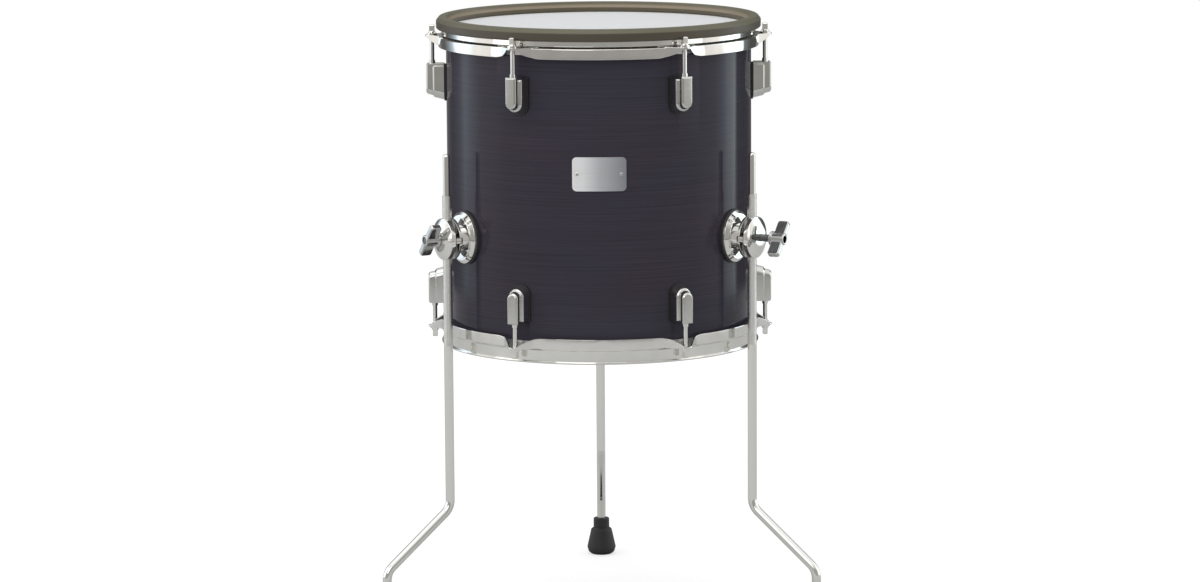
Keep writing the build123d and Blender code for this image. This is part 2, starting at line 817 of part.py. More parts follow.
def make_badge():
    """Blank metal plate bent to the shell, with its two rivets."""
    height = shell_top - badge_drop
    face = shell_radius + badge_gap + badge_thickness
    with BuildPart() as plate:
        with BuildSketch(facing(0, shell_inner, height)):
            RectangleRounded(badge_width, badge_height, badge_corner)
        extrude(amount=2 * shell_wall)
        with BuildSketch(Plane.XY.offset(height - badge_height)):
            Circle(face)
            Circle(shell_radius + badge_gap, mode=Mode.SUBTRACT)
        extrude(amount=2 * badge_height, mode=Mode.INTERSECT)
        for azimuth in (-rivet_azimuth, rivet_azimuth):
            with BuildSketch(facing(azimuth, shell_inner, height)):
                Circle(rivet_radius / 2 + badge_gap)
            extrude(amount=2 * shell_wall, mode=Mode.SUBTRACT)
    save(plate, "badge_plate")
    with BuildPart() as rivets:
        for azimuth in (-rivet_azimuth, rivet_azimuth):
            with BuildSketch(facing(azimuth, face + badge_gap, height)):
                Circle(rivet_radius)
            extrude(amount=rivet_head, taper=30)
            with BuildSketch(facing(azimuth, face + badge_gap, height)):
                Circle(rivet_radius / 2)
            extrude(amount=shell_inner - face - badge_gap)
    save(rivets, "badge_rivets")


def make_sensor():
    """Crossbar under the batter head with a sensor plate and the foam cone that touches the skin."""
    bar_top = shell_top - bar_drop
    reach = shell_inner - bar_tab_gap
    with BuildPart() as bar:
        with BuildSketch(Plane.XZ):
            with BuildLine():
                Polyline(
                    (-reach, bar_top),
                    (reach, bar_top),
                    (reach, bar_top - bar_tab_length),
                    (reach - bar_thickness, bar_top - bar_tab_length),
                    (reach - bar_thickness, bar_top - bar_thickness),
                    (bar_thickness - reach, bar_top - bar_thickness),
                    (bar_thickness - reach, bar_top - bar_tab_length),
                    (-reach, bar_top - bar_tab_length),
                    close=True,
                )
            make_face()
        extrude(amount=bar_width / 2, both=True)
        for azimuth in (-90, 90):
            centre = lug_centre(batter_rod_face, 1)
            with BuildSketch(facing(azimuth, reach - 2 * bar_thickness, centre)):
                with GridLocations(0, lug_screw_spacing, 1, 2):
                    Circle(screw_radius + screw_gap)
            extrude(amount=4 * bar_thickness, mode=Mode.SUBTRACT)
    save(bar, "sensor_crossbar")
    with BuildPart() as plate:
        with BuildSketch(Plane.XY.offset(bar_top)):
            Circle(sensor_plate_radius)
        extrude(amount=sensor_plate_height)
        chamfer(plate.faces().sort_by(Axis.Z)[-1].edges(), sensor_plate_height / 4)
    save(plate, "sensor_plate")
    with BuildPart() as cone:
        with BuildSketch(Plane.XY.offset(bar_top + sensor_plate_height)):
            Circle(cone_base_radius)
        with BuildSketch(Plane.XY.offset(shell_top - cone_gap)):
            Circle(cone_tip_radius)
        loft()
    save(cone, "sensor_cone")


def make_jack():
    """Quarter inch socket through the rear of the shell, held by its nut."""
    seat = shell_radius + jack_gap
    with BuildPart() as jack:
        with BuildSketch(facing(jack_azimuth, shell_inner - jack_gap - jack_body_length, jack_height)):
            Circle(jack_body_radius)
        extrude(amount=jack_body_length)
        with BuildSketch(facing(jack_azimuth, shell_inner - 2 * jack_gap, jack_height)):
            Circle(jack_thread_radius)
        extrude(amount=shell_wall + 2 * jack_gap + jack_proud)
        with BuildSketch(facing(jack_azimuth, shell_radius + jack_proud, jack_height)):
            Circle(jack_bore_radius)
        extrude(amount=-(jack_proud + shell_wall + jack_body_length - jack_body_radius), mode=Mode.SUBTRACT)
    save(jack, "output_jack")
    with BuildPart() as nut:
        with BuildSketch(facing(jack_azimuth, seat, jack_height)):
            RegularPolygon(jack_nut_radius, 6)
            Circle(jack_thread_radius + jack_gap / 2, mode=Mode.SUBTRACT)
        extrude(amount=jack_nut_height)
    save(nut, "jack_nut")


def make_all():
    os.makedirs("parts", exist_ok=True)
    make_shell()
    batter_ledge = batter_rim - ledge_depth
    resonant_ledge = resonant_rim + ledge_depth
    make_head("batter_head", shell_top, 1, mesh_thickness, batter_ledge)
    make_head("resonant_head", floor_to_shell, -1, film_thickness, resonant_ledge)
    make_flesh_ring("batter_flesh_ring", batter_ledge, 1, mesh_thickness)
    make_flesh_ring("resonant_flesh_ring", resonant_ledge, -1, film_thickness)
    make_hoop("batter_hoop", batter_rim, 1)
    make_hoop("resonant_hoop", resonant_rim, -1)
    make_rim_rubber()
    for number, azimuth in enumerate(rod_azimuths, 1):
        make_lug(f"batter_lug_{number}", azimuth, batter_rod_face, 1)
        make_lug(f"resonant_lug_{number}", azimuth, resonant_rod_face, -1)
        make_tension_rod(f"batter_rod_{number}", azimuth, batter_ear, batter_rod_face, 1)
        make_tension_rod(f"resonant_rod_{number}", azimuth, resonant_ear, resonant_rod_face, -1)
    make_lug_gaskets()
    make_swivel_nuts()
    make_rod_washers()
    make_mounting_screws()
    make_bracket_gaskets()
    make_eye_bolts()
    for side, azimuth in bracket_azimuths.items():
        make_bracket(f"leg_bracket_{side}", azimuth)
        make_jaw(f"bracket_jaw_{side}", azimuth)
        make_wing_nut(f"wing_nut_{side}", azimuth, wing_stands[side])
        make_leg(f"leg_{side}", azimuth)
        make_foot(f"foot_{side}", azimuth)
    make_badge()
    make_sensor()
    make_jack()


make_all()
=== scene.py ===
import json
from math import cos, pi, radians, sin, tau

import bmesh
import bpy
from mathutils import Matrix, Vector


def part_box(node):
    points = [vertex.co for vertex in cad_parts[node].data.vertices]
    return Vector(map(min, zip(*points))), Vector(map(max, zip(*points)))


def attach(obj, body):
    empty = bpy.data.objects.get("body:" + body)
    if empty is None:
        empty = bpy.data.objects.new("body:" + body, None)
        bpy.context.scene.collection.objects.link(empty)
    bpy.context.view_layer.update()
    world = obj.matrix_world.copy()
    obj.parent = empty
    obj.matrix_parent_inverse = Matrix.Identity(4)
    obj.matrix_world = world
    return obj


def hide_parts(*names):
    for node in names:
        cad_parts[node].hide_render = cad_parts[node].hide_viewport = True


# The looks of a floor tom: gloss dark wood, chrome fittings, rubber rim cover and a pale mesh head.
# All lengths are in metres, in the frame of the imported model: +Z up, the badge faces -Y.

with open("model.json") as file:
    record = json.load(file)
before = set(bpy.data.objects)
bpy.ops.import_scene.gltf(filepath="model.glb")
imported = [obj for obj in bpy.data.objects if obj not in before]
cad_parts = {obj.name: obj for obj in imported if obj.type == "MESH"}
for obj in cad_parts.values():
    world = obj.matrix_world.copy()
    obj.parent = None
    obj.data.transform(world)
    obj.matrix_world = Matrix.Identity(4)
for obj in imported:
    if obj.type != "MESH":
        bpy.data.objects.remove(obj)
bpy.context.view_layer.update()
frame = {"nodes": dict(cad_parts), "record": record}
nodes = frame["nodes"]
SLOTS = {name: piece.material_slots[0].material.name.split(".")[0] for name, piece in nodes.items()}

# The photograph's frame and the camera that took it
PHOTO_WIDTH = 1200
FOCAL_PIXELS = 4488.0
SENSOR = 36.0
CAMERA_PLACE = (0.0, -5.214, 1.169)
CAMERA_PITCH_DOWN = 8.66
CAMERA_ROLL = 0.35

# Edges: above the first angle they are rounded, above the second they stay crisp in shading
HARD_ANGLE = 32.0
SHARP_ANGLE = 38.0

# Facets that lean less than this are one flat face, and corners nearer than this are one corner
FLAT_ANGLE = 1.5
WELD = 0.00001

# Legs: where they stand, and the knurl of the length that the clamp grips
LEG_CIRCLE = 0.2024
KNURL_LOW = 0.328
KNURL_HIGH = 0.5015
KNURL_RIDGES = 30
KNURL_SLANT = 3600.0

# Clamps: where they stand round the drum
BRACKETS = {"left": radians(-60), "right": radians(60), "rear": radians(180)}

# Clamp bolts: height, length that carries thread and its radii (the nuts have a bore of 4.3 mm)
BOLT_HEIGHT = 0.452
THREAD_START = 0.2148
THREAD_END = 0.23145
THREAD_CREST = 0.00425
THREAD_ROOT = 0.0037
THREAD_PITCH = 0.00125
THREAD_CHAMFER = 0.0009
THREAD_SHARPNESS = 1.15
THREAD_SIDES = 40
THREAD_RINGS_PER_TURN = 8

# Pockets cast in the boss of each clamp, above and below its tongues
POCKET_START = radians(22)
POCKET_FLOOR = 0.0148
POCKET_TOP = 0.0256
POCKET_BACK = 0.1869
POCKET_FRONT = 0.1958
POCKET_STEPS = 24

# Rim rubber: how far below its top the painted shade of the outer wall and the painted highlight of the inner
# ledge start, and how far in from its outer face the colours of the inside, with the ledge's painted highlight,
# take over
RUBBER_WALL_DROP = 0.0046
RUBBER_LEDGE_DROP = 0.0064
RUBBER_INSIDE_FROM = 0.0125
RUBBER_INSIDE_TO = 0.0145

CHROME_TINT = (0.86, 0.855, 0.82)

# Studio
WHITE = (1.0, 1.0, 1.0, 1.0)
FLOOR_RADIUS = 2.6
FLOOR_COLOUR = 0.52
FLOOR_LIFT = 0.6
FLOOR_LIFT_IN_GLOSS = 0.05
WORLD_DIFFUSE = 0.8

# What gloss sees round the drum, as (degrees from behind the camera, level): dim in front, a soft box
# at each side and dark behind. The ramp holds a part of each level, because its colours stop at 1.
LEVEL_TOP = 2.6
STUDIO_LEFT = [(0, 0.35), (45, 0.37), (60, 0.5), (76, 0.64), (84, 0.95), (100, 1.0), (108, 1.4), (118, 1.75),
               (123, 1.5), (129, 0.6), (136, 0.26), (146, 0.1), (160, 0.18), (180, 0.3)]
STUDIO_RIGHT = [(45, 0.37), (60, 0.5), (76, 0.62), (84, 0.9), (98, 1.0), (107, 1.6), (114, 2.5), (125, 2.6),
                (128, 0.2), (140, 0.08), (152, 0.08), (162, 0.14)]

# Between these degrees the light is cooler by the first share, elsewhere warmer by the second
COOL_FROM = 104
COOL_TO = 140
COOLER = 0.12
WARMER = 0.03

# Heights of a direction (its upward part) between which the studio gets dimmer below and white above
DIM_FROM = -0.155
DIM_TO = -0.115
DIM_SHARE = 0.6
CEILING_FROM = 0.35
CEILING_TO = 0.75


def node_of(tree, kind, place=(0, 0), **values):
    """A shader node with its sockets set by name."""
    made = tree.nodes.new(kind)
    made.location = place
    for name, value in values.items():
        made.inputs[name.replace("_", " ")].default_value = value
    return made


def empty_material(name):
    """A node material that holds only a Principled shader, and its tree."""
    material = bpy.data.materials.new(name)
    material.use_nodes = True
    tree = material.node_tree
    shader = tree.nodes["Principled BSDF"]
    return material, tree, shader


def coordinates(tree, scale=(1, 1, 1), place=(-1200, 0)):
    """Object coordinates of the piece, stretched."""
    source = node_of(tree, "ShaderNodeTexCoord", place)
    stretch = node_of(tree, "ShaderNodeMapping", (place[0] + 180, place[1]))
    stretch.inputs["Scale"].default_value = scale
    tree.links.new(source.outputs["Object"], stretch.inputs["Vector"])
    return stretch.outputs["Vector"]


def noise(tree, vector, scale, detail=3.0, roughness=0.5, place=(-800, 0)):
    """The value of a noise texture."""
    made = node_of(tree, "ShaderNodeTexNoise", place, Scale=scale, Detail=detail, Roughness=roughness)
    tree.links.new(vector, made.inputs["Vector"])
    return made.outputs["Fac"]


def ramp(tree, value, stops, place=(-500, 0)):
    """Colour ramp through (position, colour) stops."""
    made = node_of(tree, "ShaderNodeValToRGB", place)
    elements = made.color_ramp.elements
    while len(elements) < len(stops):
        elements.new(0.5)
    for element, (position, colour) in zip(elements, stops):
        element.position = position
        element.color = (*colour, 1.0) if len(colour) == 3 else colour
    tree.links.new(value, made.inputs["Fac"])
    return made.outputs["Color"]


def spread(tree, value, low, high, place=(-500, 200)):
    """A noise value turned into a number between low and high."""
    made = node_of(tree, "ShaderNodeMapRange", place)
    made.inputs["From Min"].default_value = 0.3
    made.inputs["From Max"].default_value = 0.7
    made.inputs["To Min"].default_value = low
    made.inputs["To Max"].default_value = high
    tree.links.new(value, made.inputs["Value"])
    return made.outputs["Result"]


def bump(tree, shader, height, strength, distance, place=(-300, -300)):
    """Relief of the surface from a height value."""
    made = node_of(tree, "ShaderNodeBump", place, Strength=strength, Distance=distance)
    tree.links.new(height, made.inputs["Height"])
    tree.links.new(made.outputs["Normal"], shader.inputs["Normal"])


def chrome_material(name="chrome", tint=CHROME_TINT, rough=(0.05, 0.1)):
    """Polished plating with a faint unevenness."""
    material, tree, shader = empty_material(name)
    vector = coordinates(tree)
    cloud = noise(tree, vector, 60.0)
    darker = tuple(0.93 * part for part in tint)
    colour = ramp(tree, cloud, [(0.35, darker), (0.65, tint)])
    tree.links.new(colour, shader.inputs["Base Color"])
    tree.links.new(spread(tree, cloud, *rough), shader.inputs["Roughness"])
    shader.inputs["Metallic"].default_value = 1.0
    ripple = noise(tree, vector, 35.0, detail=1.0, place=(-800, -300))
    bump(tree, shader, ripple, 0.04, 0.0004)
    return material


def leg_material(name, azimuth):
    """Plated rod that is knurled where the clamp grips it and polished below."""
    material, tree, shader = empty_material(name)
    place = node_of(tree, "ShaderNodeTexCoord", (-1800, 0))
    moved = node_of(tree, "ShaderNodeVectorMath", (-1600, 0))
    moved.operation = "SUBTRACT"
    moved.inputs[1].default_value = (LEG_CIRCLE * sin(azimuth), -LEG_CIRCLE * cos(azimuth), 0.0)
    tree.links.new(place.outputs["Object"], moved.inputs[0])
    parts = node_of(tree, "ShaderNodeSeparateXYZ", (-1400, 0))
    tree.links.new(moved.outputs["Vector"], parts.inputs["Vector"])
    turn = node_of(tree, "ShaderNodeMath", (-1200, 200))
    turn.operation = "ARCTAN2"
    tree.links.new(parts.outputs["Y"], turn.inputs[0])
    tree.links.new(parts.outputs["X"], turn.inputs[1])
    around = node_of(tree, "ShaderNodeMath", (-1000, 200))
    around.operation = "MULTIPLY"
    around.inputs[1].default_value = KNURL_RIDGES
    tree.links.new(turn.outputs["Value"], around.inputs[0])
    waves = []
    for hand, row in ((1, 100), (-1, -100)):
        slant = node_of(tree, "ShaderNodeMath", (-800, row))
        slant.operation = "MULTIPLY_ADD"
        slant.inputs[1].default_value = hand * KNURL_SLANT
        tree.links.new(parts.outputs["Z"], slant.inputs[0])
        tree.links.new(around.outputs["Value"], slant.inputs[2])
        wave = node_of(tree, "ShaderNodeMath", (-600, row))
        wave.operation = "SINE"
        tree.links.new(slant.outputs["Value"], wave.inputs[0])
        waves.append(wave.outputs["Value"])
    diamond = node_of(tree, "ShaderNodeMath", (-400, 0))
    diamond.operation = "MINIMUM"
    tree.links.new(waves[0], diamond.inputs[0])
    tree.links.new(waves[1], diamond.inputs[1])
    bounds = []
    for level, fade, row in ((KNURL_LOW, 0.0004, -300), (KNURL_HIGH, -0.0004, -500)):
        edge = node_of(tree, "ShaderNodeMapRange", (-800, row))
        edge.inputs["From Min"].default_value = level - fade
        edge.inputs["From Max"].default_value = level + fade
        tree.links.new(parts.outputs["Z"], edge.inputs["Value"])
        bounds.append(edge.outputs["Result"])
    gripped = node_of(tree, "ShaderNodeMath", (-600, -400))
    gripped.operation = "MULTIPLY"
    tree.links.new(bounds[0], gripped.inputs[0])
    tree.links.new(bounds[1], gripped.inputs[1])
    height = node_of(tree, "ShaderNodeMath", (-200, -200))
    height.operation = "MULTIPLY"
    tree.links.new(diamond.outputs["Value"], height.inputs[0])
    tree.links.new(gripped.outputs["Value"], height.inputs[1])
    colour = ramp(tree, gripped.outputs["Value"], [(0.0, CHROME_TINT), (1.0, (0.78, 0.78, 0.755))], (-400, 300))
    tree.links.new(colour, shader.inputs["Base Color"])
    dull = node_of(tree, "ShaderNodeMapRange", (-400, -500))
    dull.inputs["To Min"].default_value = 0.09
    dull.inputs["To Max"].default_value = 0.26
    tree.links.new(gripped.outputs["Value"], dull.inputs["Value"])
    tree.links.new(dull.outputs["Result"], shader.inputs["Roughness"])
    shader.inputs["Metallic"].default_value = 1.0
    bump(tree, shader, height.outputs["Value"], 0.5, 0.00012)
    return material


def lacquer_material():
    """Ebony stained veneer with level grain under thick clear lacquer."""
    material, tree, shader = empty_material("shell_lacquer")
    grain = noise(tree, coordinates(tree, (2.2, 2.2, 210.0)), 3.0, detail=6.0, roughness=0.62)
    cloud = noise(tree, coordinates(tree, (1, 1, 2.4), (-1200, -400)), 5.0, place=(-800, -400))
    fibre = ramp(tree, grain, [(0.3, (0.037, 0.0345, 0.045)), (0.7, (0.051, 0.047, 0.06))])
    stain = ramp(tree, cloud, [(0.35, (0.86, 0.9, 0.95)), (0.65, (0.99, 0.9, 0.96))], (-500, -400))
    mixed = node_of(tree, "ShaderNodeMix", (-250, 0))
    mixed.data_type = "RGBA"
    mixed.blend_type = "MULTIPLY"
    mixed.inputs["Factor"].default_value = 1.0
    tree.links.new(fibre, mixed.inputs["A"])
    tree.links.new(stain, mixed.inputs["B"])
    tree.links.new(mixed.outputs["Result"], shader.inputs["Base Color"])
    shader.inputs["Roughness"].default_value = 0.08
    shader.inputs["IOR"].default_value = 1.45
    shader.inputs["Specular IOR Level"].default_value = 0.15
    bump(tree, shader, grain, 0.02, 0.0001)
    return material


def rubber_material(name, dark, light, rough=0.5, speck=900.0, strength=0.25):
    """Moulded rubber with a fine skin texture."""
    material, tree, shader = empty_material(name)
    vector = coordinates(tree)
    cloud = noise(tree, vector, 22.0)
    skin = noise(tree, vector, speck, detail=2.0, place=(-800, -300))
    tree.links.new(ramp(tree, cloud, [(0.3, dark), (0.7, light)]), shader.inputs["Base Color"])
    tree.links.new(spread(tree, skin, rough - 0.06, rough + 0.06), shader.inputs["Roughness"])
    bump(tree, shader, skin, strength, 0.0002)
    return material


def mesh_head_material():
    """Pale two-ply mesh: fine threads crossing at right angles."""
    material, tree, shader = empty_material("mesh")
    vector = coordinates(tree)
    waves = []
    for axis, place in (("X", (-800, 0)), ("Y", (-800, -300))):
        wave = node_of(tree, "ShaderNodeTexWave", place, Scale=260.0, Distortion=0.3)
        wave.bands_direction = axis
        wave.wave_profile = "SIN"
        tree.links.new(vector, wave.inputs["Vector"])
        waves.append(wave.outputs["Fac"])
    weave = node_of(tree, "ShaderNodeMath", (-600, -100))
    weave.operation = "MAXIMUM"
    tree.links.new(waves[0], weave.inputs[0])
    tree.links.new(waves[1], weave.inputs[1])
    colour = ramp(tree, weave.outputs["Value"], [(0.0, (0.62, 0.63, 0.645)), (1.0, (0.8, 0.81, 0.82))])
    tree.links.new(colour, shader.inputs["Base Color"])
    shader.inputs["Roughness"].default_value = 0.55
    bump(tree, shader, weave.outputs["Value"], 0.35, 0.0002)
    return material


def film_material():
    """Black film with a faint haze."""
    material, tree, shader = empty_material("black_film")
    haze = noise(tree, coordinates(tree), 12.0)
    tree.links.new(ramp(tree, haze, [(0.3, (0.008, 0.008, 0.009)), (0.7, (0.014, 0.014, 0.016))]),
                   shader.inputs["Base Color"])
    tree.links.new(spread(tree, haze, 0.24, 0.34), shader.inputs["Roughness"])
    return material


def brushed_material(name, tint, along, rough=0.3):
    """Brushed metal whose fine lines run along one axis."""
    material, tree, shader = empty_material(name)
    scale = tuple(6.0 if axis == along else 900.0 for axis in "XYZ")
    lines = noise(tree, coordinates(tree, scale), 1.0, detail=4.0)
    darker = tuple(0.82 * part for part in tint)
    tree.links.new(ramp(tree, lines, [(0.3, darker), (0.7, tint)]), shader.inputs["Base Color"])
    tree.links.new(spread(tree, lines, rough - 0.05, rough + 0.08), shader.inputs["Roughness"])
    shader.inputs["Metallic"].default_value = 1.0
    bump(tree, shader, lines, 0.12, 0.0001)
    return material


def badge_material():
    """Satin plate with level brush lines and a painted reflection that makes it brighter towards its left end.
    """
    material, tree, shader = empty_material("badge_metal")
    low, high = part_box("badge_plate")
    place = node_of(tree, "ShaderNodeTexCoord", (-1200, 200))
    parts = node_of(tree, "ShaderNodeSeparateXYZ", (-1000, 200))
    tree.links.new(place.outputs["Object"], parts.inputs["Vector"])
    along = node_of(tree, "ShaderNodeMapRange", (-800, 200))
    along.inputs["From Min"].default_value = low.x
    along.inputs["From Max"].default_value = high.x
    tree.links.new(parts.outputs["X"], along.inputs["Value"])
    # Painted reflection: the plate's colour runs from near white at its left end to dark at its right
    painted_sheen = ramp(tree, along.outputs["Result"], [(0.0, (0.99, 0.99, 0.99)), (0.2, (0.92, 0.94, 0.95)),
                                                 (0.5, (0.58, 0.6, 0.62)), (1.0, (0.3, 0.315, 0.34))])
    lines = noise(tree, coordinates(tree, (8.0, 8.0, 1400.0), (-1200, -200)), 1.0, detail=4.0)
    fine = ramp(tree, lines, [(0.3, (0.93, 0.93, 0.93)), (0.7, (1.0, 1.0, 1.0))], (-500, -100))
    mixed = node_of(tree, "ShaderNodeMix", (-200, 0))
    mixed.data_type = "RGBA"
    mixed.blend_type = "MULTIPLY"
    mixed.inputs["Factor"].default_value = 1.0
    tree.links.new(painted_sheen, mixed.inputs["A"])
    tree.links.new(fine, mixed.inputs["B"])
    tree.links.new(mixed.outputs["Result"], shader.inputs["Base Color"])
    tree.links.new(spread(tree, lines, 0.3, 0.42), shader.inputs["Roughness"])
    shader.inputs["Metallic"].default_value = 0.55
    bump(tree, shader, lines, 0.05, 0.0001)
    return material


def rim_rubber_material():
    """Olive rubber with a fine moulded skin and painted light: painted shade makes the outer wall darker and
    browner than the top, and a painted highlight makes the ledge inside lighter.
    """
    material, tree, shader = empty_material("rim_rubber")
    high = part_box("rim_rubber")[1]
    wall_top = high.z - RUBBER_WALL_DROP
    source = node_of(tree, "ShaderNodeTexCoord", (-1400, 300))
    parts = node_of(tree, "ShaderNodeSeparateXYZ", (-1200, 300))
    tree.links.new(source.outputs["Object"], parts.inputs["Vector"])
    level = node_of(tree, "ShaderNodeMapRange", (-1000, 300))
    level.inputs["From Min"].default_value = wall_top - 0.0006
    level.inputs["From Max"].default_value = wall_top + 0.0006
    tree.links.new(parts.outputs["Z"], level.inputs["Value"])
    # Painted shade: below wall_top the outer wall is darker and browner than the lit top
    outer_painted_shade = ramp(tree, level.outputs["Result"], [(0.0, (0.068, 0.056, 0.036)), (1.0, (0.112, 0.106, 0.064))])
    across = node_of(tree, "ShaderNodeVectorMath", (-1200, 0))
    across.operation = "MULTIPLY"
    across.inputs[1].default_value = (1.0, 1.0, 0.0)
    tree.links.new(source.outputs["Object"], across.inputs[0])
    reach = node_of(tree, "ShaderNodeVectorMath", (-1000, 0))
    reach.operation = "LENGTH"
    tree.links.new(across.outputs["Vector"], reach.inputs[0])
    inward = node_of(tree, "ShaderNodeMapRange", (-800, 0))
    inward.inputs["From Min"].default_value = high.x - RUBBER_INSIDE_FROM
    inward.inputs["From Max"].default_value = high.x - RUBBER_INSIDE_TO
    tree.links.new(reach.outputs["Value"], inward.inputs["Value"])
    ledge_low = high.z - RUBBER_LEDGE_DROP
    ledge = node_of(tree, "ShaderNodeMapRange", (-1000, -300))
    ledge.inputs["From Min"].default_value = ledge_low - 0.0004
    ledge.inputs["From Max"].default_value = ledge_low + 0.0004
    tree.links.new(parts.outputs["Z"], ledge.inputs["Value"])
    # Painted highlight: above ledge_low the inner ledge is lighter than the rubber below it
    ledge_painted_highlight = ramp(tree, ledge.outputs["Result"], [(0.0, (0.092, 0.077, 0.045)), (1.0, (0.24, 0.19, 0.13))],
                 (-500, -300))
    both = node_of(tree, "ShaderNodeMix", (-250, 0))
    both.data_type = "RGBA"
    tree.links.new(inward.outputs["Result"], both.inputs["Factor"])
    tree.links.new(outer_painted_shade, both.inputs["A"])
    tree.links.new(ledge_painted_highlight, both.inputs["B"])
    tree.links.new(both.outputs["Result"], shader.inputs["Base Color"])
    skin = noise(tree, coordinates(tree, place=(-1200, -700)), 800.0, detail=2.0, place=(-800, -700))
    tree.links.new(spread(tree, skin, 0.38, 0.5), shader.inputs["Roughness"])
    bump(tree, shader, skin, 0.2, 0.0002)
    return material


def foam_material():
    """Dark open cell foam."""
    material, tree, shader = empty_material("foam")
    cells = node_of(tree, "ShaderNodeTexVoronoi", (-800, 0), Scale=420.0)
    tree.links.new(coordinates(tree), cells.inputs["Vector"])
    colour = ramp(tree, cells.outputs["Distance"], [(0.0, (0.006, 0.006, 0.007)), (0.8, (0.035, 0.035, 0.038))])
    tree.links.new(colour, shader.inputs["Base Color"])
    shader.inputs["Roughness"].default_value = 0.95
    bump(tree, shader, cells.outputs["Distance"], 0.8, 0.0006)
    return material


MATERIALS = {
    "chrome": chrome_material(),
    "shell_lacquer": lacquer_material(),
    "rim_rubber": rim_rubber_material(),
    "mesh": mesh_head_material(),
    "black_film": film_material(),
    "flesh_ring": brushed_material("flesh_ring", (0.62, 0.62, 0.63), "Z"),
    "black_rubber": rubber_material("black_rubber", (0.011, 0.011, 0.011), (0.02, 0.02, 0.02), rough=0.55),
    "badge_metal": badge_material(),
    "steel": brushed_material("steel", (0.5, 0.5, 0.51), "Y"),
    "foam": foam_material(),
    "jack_plastic": rubber_material("jack_plastic", (0.013, 0.013, 0.014), (0.022, 0.022, 0.023), rough=0.4),
}


# Pieces with a material of their own within their slot: darker copies of chrome for the lugs and wing nuts,
# whose darkness is painted shade, dark steel for the clamp bolts, and the knurled legs
LUG_CHROME_PAINTED_SHADE = chrome_material("cast_chrome", (0.69, 0.695, 0.66), (0.08, 0.14))
WING_CHROME_PAINTED_SHADE = chrome_material("wing_chrome", (0.56, 0.56, 0.55), (0.08, 0.14))
BOLT = brushed_material("bolt_steel", (0.2, 0.2, 0.2), "Z", rough=0.36)
LEGS = {"leg_" + name: leg_material("leg_" + name + "_chrome", azimuth) for name, azimuth in BRACKETS.items()}


def finish_of(name, slot):
    """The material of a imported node."""
    # Lugs and wing nuts take darker chrome copies: painted shade
    if "_lug_" in name and slot == "chrome":
        return LUG_CHROME_PAINTED_SHADE
    if name.startswith("wing_nut"):
        return WING_CHROME_PAINTED_SHADE
    if name == "eye_bolts":
        return BOLT
    if name in LEGS:
        return LEGS[name]
    return MATERIALS[slot]


def dress_nodes():
    """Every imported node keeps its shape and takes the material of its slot."""
    for name, piece in nodes.items():
        slots = [slot.material.name for slot in piece.material_slots]
        for place, slot in enumerate(slots):
            piece.material_slots[place].material = finish_of(name, slot.split(".")[0])


def finish_mesh(shape, name):
    """Closes a bmesh into an object that shades smoothly across its small rounds."""
    bmesh.ops.recalc_face_normals(shape, faces=shape.faces)
    for face in shape.faces:
        face.smooth = True
    for edge in shape.edges:
        if len(edge.link_faces) == 2:
            edge.smooth = edge.calc_face_angle(0.0) < radians(SHARP_ANGLE)
    mesh = bpy.data.meshes.new(name)
    shape.to_mesh(mesh)
    shape.free()
    piece = bpy.data.objects.new(name, mesh)
    bpy.context.scene.collection.objects.link(piece)
    even = piece.modifiers.new("even", "WEIGHTED_NORMAL")
    even.keep_sharp = True
    return piece


def add_piece(shape, name, slot, body, material=None):
    """A piece of this scene: its mesh, its finish and the body that carries it."""
    piece = finish_mesh(shape, name)
    piece.data.materials.append(material or MATERIALS[slot])
    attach(piece, body)
    return piece


def body_of(name):
    """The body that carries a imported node."""
    for body, names in frame["record"]["behaviour"]["bodies"].items():
        if name in names:
            return body


def clamp_axes(azimuth):
    """Outward, sideways and upward directions at a clamp."""
    return (Vector((sin(azimuth), -cos(azimuth), 0.0)), Vector((cos(azimuth), sin(azimuth), 0.0)),
            Vector((0.0, 0.0, 1.0)))


def pocket_tool(azimuth):
    """What is taken out of the boss of a clamp: two curved pockets."""
    outward, side, up = clamp_axes(azimuth)
    tool = bmesh.new()
    for start in (POCKET_START, pi + POCKET_START):
        sections = []
        for step in range(POCKET_STEPS + 1):
            angle = start + (pi - 2 * POCKET_START) * step / POCKET_STEPS
            ray = side * cos(angle) + up * sin(angle)
            section = []
            for radius, along in ((POCKET_FLOOR, POCKET_BACK), (POCKET_TOP, POCKET_BACK),
                                  (POCKET_TOP, POCKET_FRONT), (POCKET_FLOOR, POCKET_FRONT)):
                section.append(tool.verts.new(outward * along + up * BOLT_HEIGHT + ray * radius))
            sections.append(section)
        for first, second in zip(sections, sections[1:]):
            for corner in range(4):
                after = (corner + 1) % 4
                tool.faces.new((first[corner], first[after], second[after], second[corner]))
        tool.faces.new(sections[0])
        tool.faces.new(sections[-1])
    bmesh.ops.recalc_face_normals(tool, faces=tool.faces)
    return tool


def cut(shape, tool):
    """The shape without what the tool takes out of it."""
    holders = []
    for part in (shape, tool):
        mesh = bpy.data.meshes.new("cut")
        part.to_mesh(mesh)
        part.free()
        holder = bpy.data.objects.new("cut", mesh)
        bpy.context.scene.collection.objects.link(holder)
        holders.append(holder)
    taken = holders[0].modifiers.new("cut", "BOOLEAN")
    taken.operation = "DIFFERENCE"
    taken.solver = "EXACT"
    taken.object = holders[1]
    bpy.context.view_layer.update()
    graph = bpy.context.evaluated_depsgraph_get()
    rest = bpy.data.meshes.new_from_object(holders[0].evaluated_get(graph))
    left = bmesh.new()
    left.from_mesh(rest)
    bpy.data.meshes.remove(rest)
    for holder in holders:
        mesh = holder.data
        bpy.data.objects.remove(holder)
        bpy.data.meshes.remove(mesh)
    return left


